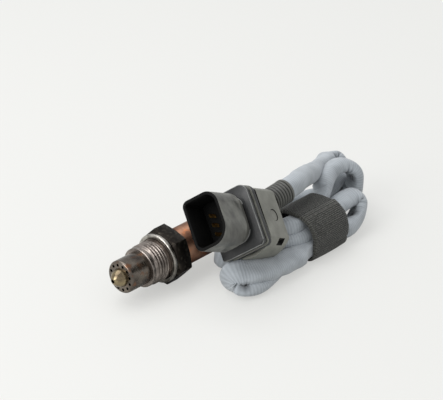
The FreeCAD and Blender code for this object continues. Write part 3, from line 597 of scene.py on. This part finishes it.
def cable_line():
    """The route's smooth line in even steps: its points, way along it and count of stretches."""
    line = spline_points(ROUTE)
    steps = np.linalg.norm(np.diff(line, axis=0), axis=1)
    keep = np.concatenate([[True], steps > 1e-7])
    knots = np.linspace(0, len(ROUTE) - 2, len(line))[keep]
    line = line[keep]
    run = way_along(line)
    along = np.linspace(0, run[-1], int(run[-1] / ROW_SPACING))
    path = np.stack([np.interp(along, run, line[:, axis]) for axis in range(3)], axis=1)
    return path, along, np.interp(along, run, knots)


def carried_frame(path, along):
    """Two directions across the line that don't turn round it, and the line's bend."""
    tangent = unit(soften(np.gradient(path, axis=0), 2))
    bend = soften(np.gradient(tangent, along, axis=0), 3)
    side = np.zeros_like(path)
    side[0] = (0, 0, 1)
    for row in range(1, len(path)):
        carried = side[row - 1] - tangent[row] * side[row - 1].dot(tangent[row])
        side[row] = carried / np.linalg.norm(carried)
    return side, np.cross(tangent, side), bend


def pressed_section(knot, side, other):
    """Half the cover's thickness and width in each row, and the turn at which it is thin."""
    rows = []
    for point, half_thin, half_wide, flat in PRESSED:
        station = min(max(point - POINT_SHIFT, 0), len(ROUTE) - 2)
        row = int(np.argmin(np.abs(knot - station)))
        turn = math.atan2(np.dot(flat, other[row]), np.dot(flat, side[row]))
        if rows:
            turn += math.pi * round((rows[-1][3] - turn) / math.pi)
        rows.append((station, half_thin * MM, half_wide * MM, turn))
    stations, *sections = np.array(rows).T
    return [soften(np.interp(knot, stations, section), 7)[:, None] for section in sections]


def swells(along, angle, chance):
    """Slow swells of slack cloth along and round the run."""
    swell = np.zeros((len(along), len(angle)))
    for _ in range(9):
        length = chance.uniform(0.007, 0.026)
        lobes = chance.integers(0, 4)
        phase = chance.uniform(0, math.tau, 2)
        lengthwise = np.sin(math.tau * along[:, None] / length + phase[0])
        swell += lengthwise * np.cos(lobes * angle + phase[1])
    return swell


def creases(along, angle, fold, inward, chance):
    """Creases that cross the inside of each fold, and faint ones in between."""
    relief = np.zeros((len(along), len(angle)))
    place = 0.004
    while place < along[-1] - 0.004:
        row = int(np.argmin(np.abs(along - place)))
        depth = fold[row] * chance.uniform(0.6, 1.5) * 0.0012 + chance.uniform(0, 0.00014)
        width = chance.uniform(0.0005, 0.0010)
        slant = chance.uniform(-0.0016, 0.0016)
        away = along[:, None] - place - slant * np.sin(angle + chance.uniform(0, math.tau))
        shape = 0.4 * bump_at(np.abs(away), 1.7 * width, width) - bump_at(away, 0, width)
        window = np.clip(0.35 + 0.9 * inward[row], 0, 1) ** 1.5
        relief += depth * shape * window
        place += chance.uniform(0.0022, 0.0042)
    return relief


def make_sleeve():
    """The cable's cover, with the line it follows and its length."""
    path, along, knot = cable_line()
    side, other, bend = carried_frame(path, along)
    thin, wide, turn = pressed_section(knot, side, other)

    angle = np.linspace(0, math.tau, COLUMNS, endpoint=False)
    out = side[:, None] * np.cos(angle)[:, None] + other[:, None] * np.sin(angle)[:, None]
    tightness = np.linalg.norm(bend, axis=1)
    fold = soften(np.clip((tightness * CABLE / 2 - 0.30) / 0.6, 0, 1), 6)
    middle, spread, boxy = BOX_FOLD
    square = (2.25 + 1.1 * fold + boxy * bump_at(knot, middle, spread))[:, None]
    lean = angle - turn
    across_thin = (np.abs(np.cos(lean)) / thin) ** square
    across_wide = (np.abs(np.sin(lean)) / wide) ** square
    plain_reach = (across_thin + across_wide) ** (-1 / square)

    chance = np.random.default_rng(11)
    reach = plain_reach + swells(along, angle, chance) * 0.00005
    inner = np.einsum("rci,ri->rc", out, bend)
    inward = inner / (tightness[:, None] + 1e-9)
    reach += creases(along, angle, fold, inward, chance)
    for point, toward, depth, length, spread in HOLLOWS:
        row = int(np.argmin(np.abs(knot - point)))
        facing = np.einsum("rci,i->rc", out, unit(np.array(toward)))
        across = np.clip((facing - math.cos(spread)) / (1 - math.cos(spread)), 0, 1)
        lengthwise = bump_at(along, along[row], length * MM)[:, None]
        reach -= depth * MM * lengthwise * across ** 0.8
    # On the inside of a fold the cloth stops short of the middle of the bend, and all of it stays
    # just above the bench.
    limit = np.where(inner > 1.0, 0.97 / np.maximum(inner, 1.0), 1.0)
    reach = np.clip(np.minimum(reach, np.maximum(limit, CLOSEST)), CLOSEST, FURTHEST)
    rings = path[:, None] + out * reach[:, :, None]
    rings[:, :, 2] = np.maximum(rings[:, :, 2], 0.0002)
    hold_in_tie(rings, path)

    mesh = sweep_mesh("cable_cover", rings)
    around = np.abs(angle - math.pi) * CABLE / 2
    run = np.stack(np.broadcast_arrays(along[:, None], around), -1).reshape(-1, 2)
    layer = mesh.uv_layers.new(name="run")
    for loop in mesh.loops:
        layer.data[loop.index].uv = run[loop.vertex_index]
    # Painted shade in the folds: the further the cloth is pushed in from its plain reach, the
    # darker it is, and none is painted inside the tie.
    depth = (plain_reach - np.linalg.norm(rings - path[:, None], axis=2)) / SHADED_DEPTH
    mark(mesh, "fold_shade", depth * ~inside_tie(path)[:, None])
    shade(mesh, 70)
    return piece_from("cable_cover", mesh, [sleeve_cloth]), path, float(along[-1])


cable_cover, cable_path, cable_length = make_sleeve()

# The tie's lap starts over the top and ends low on the near side, at these y and z.
LAP_TOP = (-0.0311, 0.0208)
LAP_END = (-0.0396, 0.0060)
# Three broken lines of painted highlight cross the lap's cut end, this far apart.
LAP_LINES = (0, 0.0013, 0.0026)
TIE_ROWS = 400


def make_tie():
    """One turn of woven band, with its end lapped over the near side."""
    points, outward, way = tie_outline(TIE_ROWS)
    frays = np.random.default_rng(5).normal(0, 0.00011, (2, 3 * TIE_ROWS))[:, ::3]
    inner = np.linspace(0.06, 0.94, 17)
    across = np.concatenate([[0.0, 0.0, 0.015, 0.03], inner, [0.97, 0.985, 1.0, 1.0]])
    selvedge = np.ones(len(across))
    selvedge[:3] = selvedge[:-4:-1] = (0.35, 0.7, 0.92)

    def band(rows, low, high, lapped):
        """One layer between two depths. A lapped one is open and thins out at its ends."""
        rings = []
        for order, row in enumerate(rows):
            ripple = np.sin(way[row] * 900 + across * 5)
            sag = 0.00022 * np.sin(math.pi * across) ** 0.7 + 0.00008 * ripple
            ends = min(order, len(rows) - 1 - order) / 3 if lapped else 1
            thick = (high - low) * min(1, 0.35 + 0.65 * ends)
            length = TIE_LENGTH + frays[1][row] - frays[0][row]
            depth = np.concatenate([low + thick * selvedge + sag, (low + sag)[::-1]])
            x = TIE_START + frays[0][row] + length * np.concatenate([across, across[::-1]])
            y = points[row, 0] + outward[row, 0] * depth
            z = points[row, 1] + outward[row, 1] * depth
            rings.append(np.stack([x, y, np.maximum(z, 0.00005)], axis=1))
        return sweep_mesh("tie_band", rings, not lapped)

    top = int(np.argmin(np.hypot(*((points - LAP_TOP) * (1, 1.5)).T)))
    end = int(np.argmin(np.hypot(*((points - LAP_END) * (1.5, 1)).T)))
    joined = bmesh.new()
    uv = joined.loops.layers.uv.new("run")
    joined.from_mesh(band(range(TIE_ROWS), -TIE_THICKNESS, -0.0001, False))
    joined.from_mesh(band(range(top, end + 1), -0.00012, 0.0005, True))
    joined.verts.index_update()
    run = np.zeros(len(joined.verts))
    for vertex in joined.verts:
        near = np.hypot(points[:, 0] - vertex.co.y, points[:, 1] - vertex.co.z)
        run[vertex.index] = way[int(np.argmin(near))]
    for face in joined.faces:
        for loop in face.loops:
            loop[uv].uv = (run[loop.vert.index], loop.vert.co.x)
    mesh = bpy.data.meshes.new("woven_tie")
    joined.to_mesh(mesh)
    joined.free()

    # Painted highlight lines: along the frayed edges, and across the lap where its layers show.
    x = np.array([vertex.co.x for vertex in mesh.vertices])
    torn = 0.5 + 0.5 * np.sin(run * 5200) * np.sin(x * 3100 + run * 900)
    cross = sum(bump_at(run, way[top] + gap, 0.00022) for gap in LAP_LINES)
    mark(mesh, "highlight_lines", (0.5 * bump_at(past_tie(x), 0, 0.0004) + 0.55 * cross) * torn)
    shade(mesh, 50)
    return piece_from("woven_tie", mesh, [tie_cloth])


woven_tie = make_tie()

# Turned shapes have a point at each of these angles.
ROUND = np.linspace(0, math.tau, 180, endpoint=False)


def turned_ring(station, radius):
    """A ring round the sensor's axis. Its station and radius may vary round it."""
    station, radius = (np.broadcast_to(value, ROUND.shape) for value in (station, radius))
    y, z = radius * np.sin(ROUND), TURN_AXIS + radius * np.cos(ROUND)
    return np.stack([station, y, z], axis=1)


def make_thread():
    """The steel body's front, with its real thread, M18 x 1.5."""
    pitch = 0.0015
    start, end = -0.0243, -0.0174
    front = [
        (-0.0268, 0.00725),
        (-0.0268, 0.0084),
        (-0.0266, 0.00865),
        (-0.0255, 0.0087),
        (-0.0252, 0.0085),
        (-0.0250, 0.0080),
        (start, 0.0080),
    ]
    rear = [(end, 0.0080), (-0.0163, 0.0080), (-0.0163, 0.0090), (-0.0145, 0.0090)]
    thread = []
    for station in np.linspace(start, end, 78)[1:-1]:
        lead = (station - start) / pitch - ROUND / math.tau
        ridge = 1 - 2 * np.abs(lead % 1 - 0.5)
        groove = np.clip(ridge * 1.35 - 0.1, 0, 1)
        fade = np.clip((station - start) / 0.0008, 0, 1)
        fade *= np.clip((end - station) / 0.0006, 0, 1)
        radius = 0.0090 - 0.00092 * (1 - groove * fade) - 0.0001 * (1 - fade)
        thread.append((station, radius))
    mesh = sweep_mesh("threaded_shell", [turned_ring(*row) for row in front + thread + rear])
    shade(mesh, 38)
    return piece_from("threaded_shell", mesh, [turned_steel])


def make_hexagon():
    """The wrench hexagon, with its corners chamfered at 30 degrees."""
    start, end = -0.0145, -0.0067
    face = 0.0108
    away = (ROUND - HEX_TURN) % math.radians(60) - math.radians(30)
    rim = ACROSS_FLATS / 2 / np.cos(away)
    chamfer = (rim - face) * math.tan(math.radians(30))
    rows = [
        (start, 0.0090),
        (start, face),
        (start + chamfer, rim),
        (end - chamfer * 0.6, rim),
        (end, face),
        (end, 0.0078),
    ]
    mesh = sweep_mesh("forged_hexagon", [turned_ring(*row) for row in rows])
    return piece_from("forged_hexagon", mesh, [black_steel])


def round_edges(piece, width, angle, highlight_slot=-1):
    """Edges past an angle in degrees rounded off, where asked with a material of their own that
    paints a highlight on them.
    """
    bevel = piece.modifiers.new("rounding", "BEVEL")
    bevel.width = width
    bevel.segments = 2
    bevel.limit_method = "ANGLE"
    bevel.angle_limit = math.radians(angle)
    bevel.use_clamp_overlap = False
    bevel.material = highlight_slot
    evened = piece.modifiers.new("even shading", "WEIGHTED_NORMAL")
    evened.keep_sharp = True
    evened.weight = 80
    bpy.context.view_layer.update()
    shown = piece.evaluated_get(bpy.context.evaluated_depsgraph_get())
    mesh = bpy.data.meshes.new_from_object(shown)
    piece.modifiers.clear()
    piece.data = mesh
    shade(mesh, 42)


threaded_shell = make_thread()
forged_hexagon = make_hexagon()
round_edges(forged_hexagon, 0.0002, 12)


def dressed(node, materials, rounding=0.0):
    """A smooth copy of a CAD node's mesh with lightly rounded edges, shown in its place.

    Where it has more than one material, its rounded edges take the second, a painted edge
    highlight.
    """
    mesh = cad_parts[node].data.copy()
    mesh.materials.clear()
    merged = bmesh.new()
    merged.from_mesh(mesh)
    bmesh.ops.remove_doubles(merged, verts=merged.verts, dist=2e-6)
    merged.to_mesh(mesh)
    merged.free()
    piece = piece_from(node + "_finish", mesh, materials)
    if rounding:
        round_edges(piece, rounding, 32, 1 if len(materials) > 1 else -1)
    else:
        shade(mesh, 32)
    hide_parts(node)
    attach(piece, "root")
    return piece


dressed("inner_protection_tube", [nose_steel])
dressed("outer_protection_tube", [tube_steel])
dressed("seal_ring", [ring_steel], 0.00025)
dressed("rear_sleeve", [copper_steel])
dressed("cable_grommet", [seal_rubber])
housing_plastics = [flange_plastic, edge_highlight_plastic, collar_dust_and_reflection_plastic, shaded_socket_plastic]
housing = dressed("connector_housing", housing_plastics, 0.0003)
cover = dressed("rear_cover", [cover_plastic], 0.0001)
flange_seal = dressed("flange_seal", [seal_rubber])
boot = dressed("corrugated_boot", [boot_rubber])
pins = dressed("connector_pins", [pin_brass])


def in_connector(point):
    """A point in the connector's own frame, in mm: rearward, across and up."""
    away = (point - FLANGE_FACE) / MM
    return [away.dot(way) for way in (CONNECTOR_REARWARD, CONNECTOR_SIDE, CONNECTOR_UP)]


# The housing's faces: the collar in front of the flange is painted grey outside for the reflection
# and dust on its side, and the socket, with the collar's front and inner faces, is painted near
# black for the shade in it.
LIT_COLLAR, SHADED_SOCKET = 2, 3
for face in housing.data.polygons:
    away = face.center - FLANGE_FACE
    station = away.dot(CONNECTOR_REARWARD)
    radial = away - CONNECTOR_REARWARD * station
    if station > -0.0004 and radial.length < 0.0085:
        face.material_index = SHADED_SOCKET
    elif station < -0.0002:
        forward = -face.normal.dot(CONNECTOR_REARWARD)
        inside = radial.dot(face.normal) < 0 or radial.length < 0.006
        face.material_index = SHADED_SOCKET if forward > 0.7 or inside else LIT_COLLAR

# Painted shade darkens the cover's groove, window and slot, boxes in the connector's own frame in
# mm, and round its sunk disc, which has its middle's two places and its radius.
GROOVE = [((5.86, 6.78), (-12, 12), (-16, 16)), ((5.86, 6.86), (-12, 12), (-10.5, 16))]
WINDOW = ((13.50, 18.10), (-11.1, -7.0), (-13.8, -10.8))
SLOT = ((16.90, 19.90), (-7.6, -3.8), (11.5, 13.6))
DISC = (15.10, -0.5, 2.6)
# The rim in front of the groove is as dark as the flange.
RIM = (3.9, 5.75)
cover.data.materials.append(recess_shade_plastic)
cover.data.materials.append(flange_plastic)
SHADED_RECESS, DARK = 1, 2
corners = [in_connector(vertex.co) for vertex in cover.data.vertices]
for face in cover.data.polygons:
    back, across, up = in_connector(face.center)
    from_disc = math.hypot(back - DISC[0], up - DISC[1]) - DISC[2]
    if RIM[0] < back < RIM[1]:
        face.material_index = DARK
    elif abs(from_disc) < 0.25 and across < -10.2 and face.area < 1e-6:
        face.material_index = SHADED_RECESS
    for box in (*GROOVE, WINDOW, SLOT):
        if all(
            low <= value <= high
            for number in face.vertices
            for value, (low, high) in zip(corners[number], box)
        ):
            face.material_index = SHADED_RECESS

# The hidden pieces keep their CAD mesh and take a material.
INSIDE_SENSOR = {
    "sensing_element": alumina,
    "lower_insulator": alumina,
    "talc_seal": talc,
    "upper_insulator": alumina,
    "contact_holder_upper": alumina,
    "contact_holder_lower": alumina,
    "holder_clamp": spring_steel,
    "contact_springs": spring_steel,
    "sensor_wires": wire_cover,
}
INSIDE_CONNECTOR = {
    "terminal_lock": shaded_socket_plastic,
    "wire_seal": seal_rubber,
    "trim_resistor": shaded_socket_plastic,
    "connector_wires": wire_cover,
}
for node, material in {**INSIDE_SENSOR, **INSIDE_CONNECTOR}.items():
    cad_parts[node].data.materials.clear()
    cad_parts[node].data.materials.append(material)

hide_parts("sensor_shell")
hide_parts("sensor_shell")
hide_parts("cable_from_sensor", "cable_to_connector", "cable_hank")
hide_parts("hook_and_loop_tie")
for piece, slot in (
    (threaded_shell, "dark_steel"),
    (forged_hexagon, "dark_steel"),
    (cable_cover, "cable_cover"),
    (woven_tie, "tie_fabric"),
):
    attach(piece, "root")

# The bench is a lit backdrop: the camera sees pale shadows on it, while it lights the part as
# white card does.
bench_mesh = bpy.data.meshes.new("bench")
bench_mesh.from_pydata([(-6, -6, 0), (6, -6, 0), (6, 6, 0), (-6, 6, 0)], [], [(0, 1, 2, 3)])
card, tree, _ = start_material("matt_white_sheet")
to_camera = add(tree, "ShaderNodeLightPath").outputs["Is Camera Ray"]
glow = add(tree, "ShaderNodeMath", {0: to_camera, 1: 0.49}, operation="MULTIPLY").outputs[0]
card_colour = tinted(tree, "d0d0cd", (to_camera, "969694"))
finish_material(tree, card_colour, 0.9, Emission_Color="fffffc", Emission_Strength=glow)
bench = piece_from("bench", bench_mesh, [card])

# The world is pale to the camera, and lights the part a little less.
world = bpy.data.worlds.new("studio")
scene.world = world
world.use_nodes = True
tree = world.node_tree
tree.nodes.clear()
rays = add(tree, "ShaderNodeLightPath").outputs
seen = {0: rays["Is Camera Ray"], 1: rays["Is Transmission Ray"]}
lit = {"Color": "e4e5e6", "Strength": 0.92}
white = {"Color": "f0f0ee", "Strength": 1.0}
either = {
    0: add(tree, "ShaderNodeMath", seen, operation="MAXIMUM").outputs[0],
    1: add(tree, "ShaderNodeBackground", lit).outputs[0],
    2: add(tree, "ShaderNodeBackground", white).outputs[0],
}
shown = add(tree, "ShaderNodeMixShader", either)
add(tree, "ShaderNodeOutputWorld", {"Surface": shown.outputs[0]})


def soft_light(name, place, size, power):
    """A wide soft lamp that points at the part."""
    lamp = bpy.data.lights.new(name, "AREA")
    lamp.shape = "RECTANGLE"
    lamp.size, lamp.size_y = size
    lamp.energy = power
    holder = bpy.data.objects.new(name, lamp)
    holder.location = place
    direction = Vector((0.03, -0.02, 0)) - Vector(place)
    holder.rotation_euler = direction.to_track_quat("-Z", "Y").to_euler()
    scene.collection.objects.link(holder)


soft_light("overhead", (-0.10, 0.35, 0.85), (0.9, 0.7), 3.9)
soft_light("side", (-0.75, 0.10, 0.45), (0.5, 0.5), 3.6)
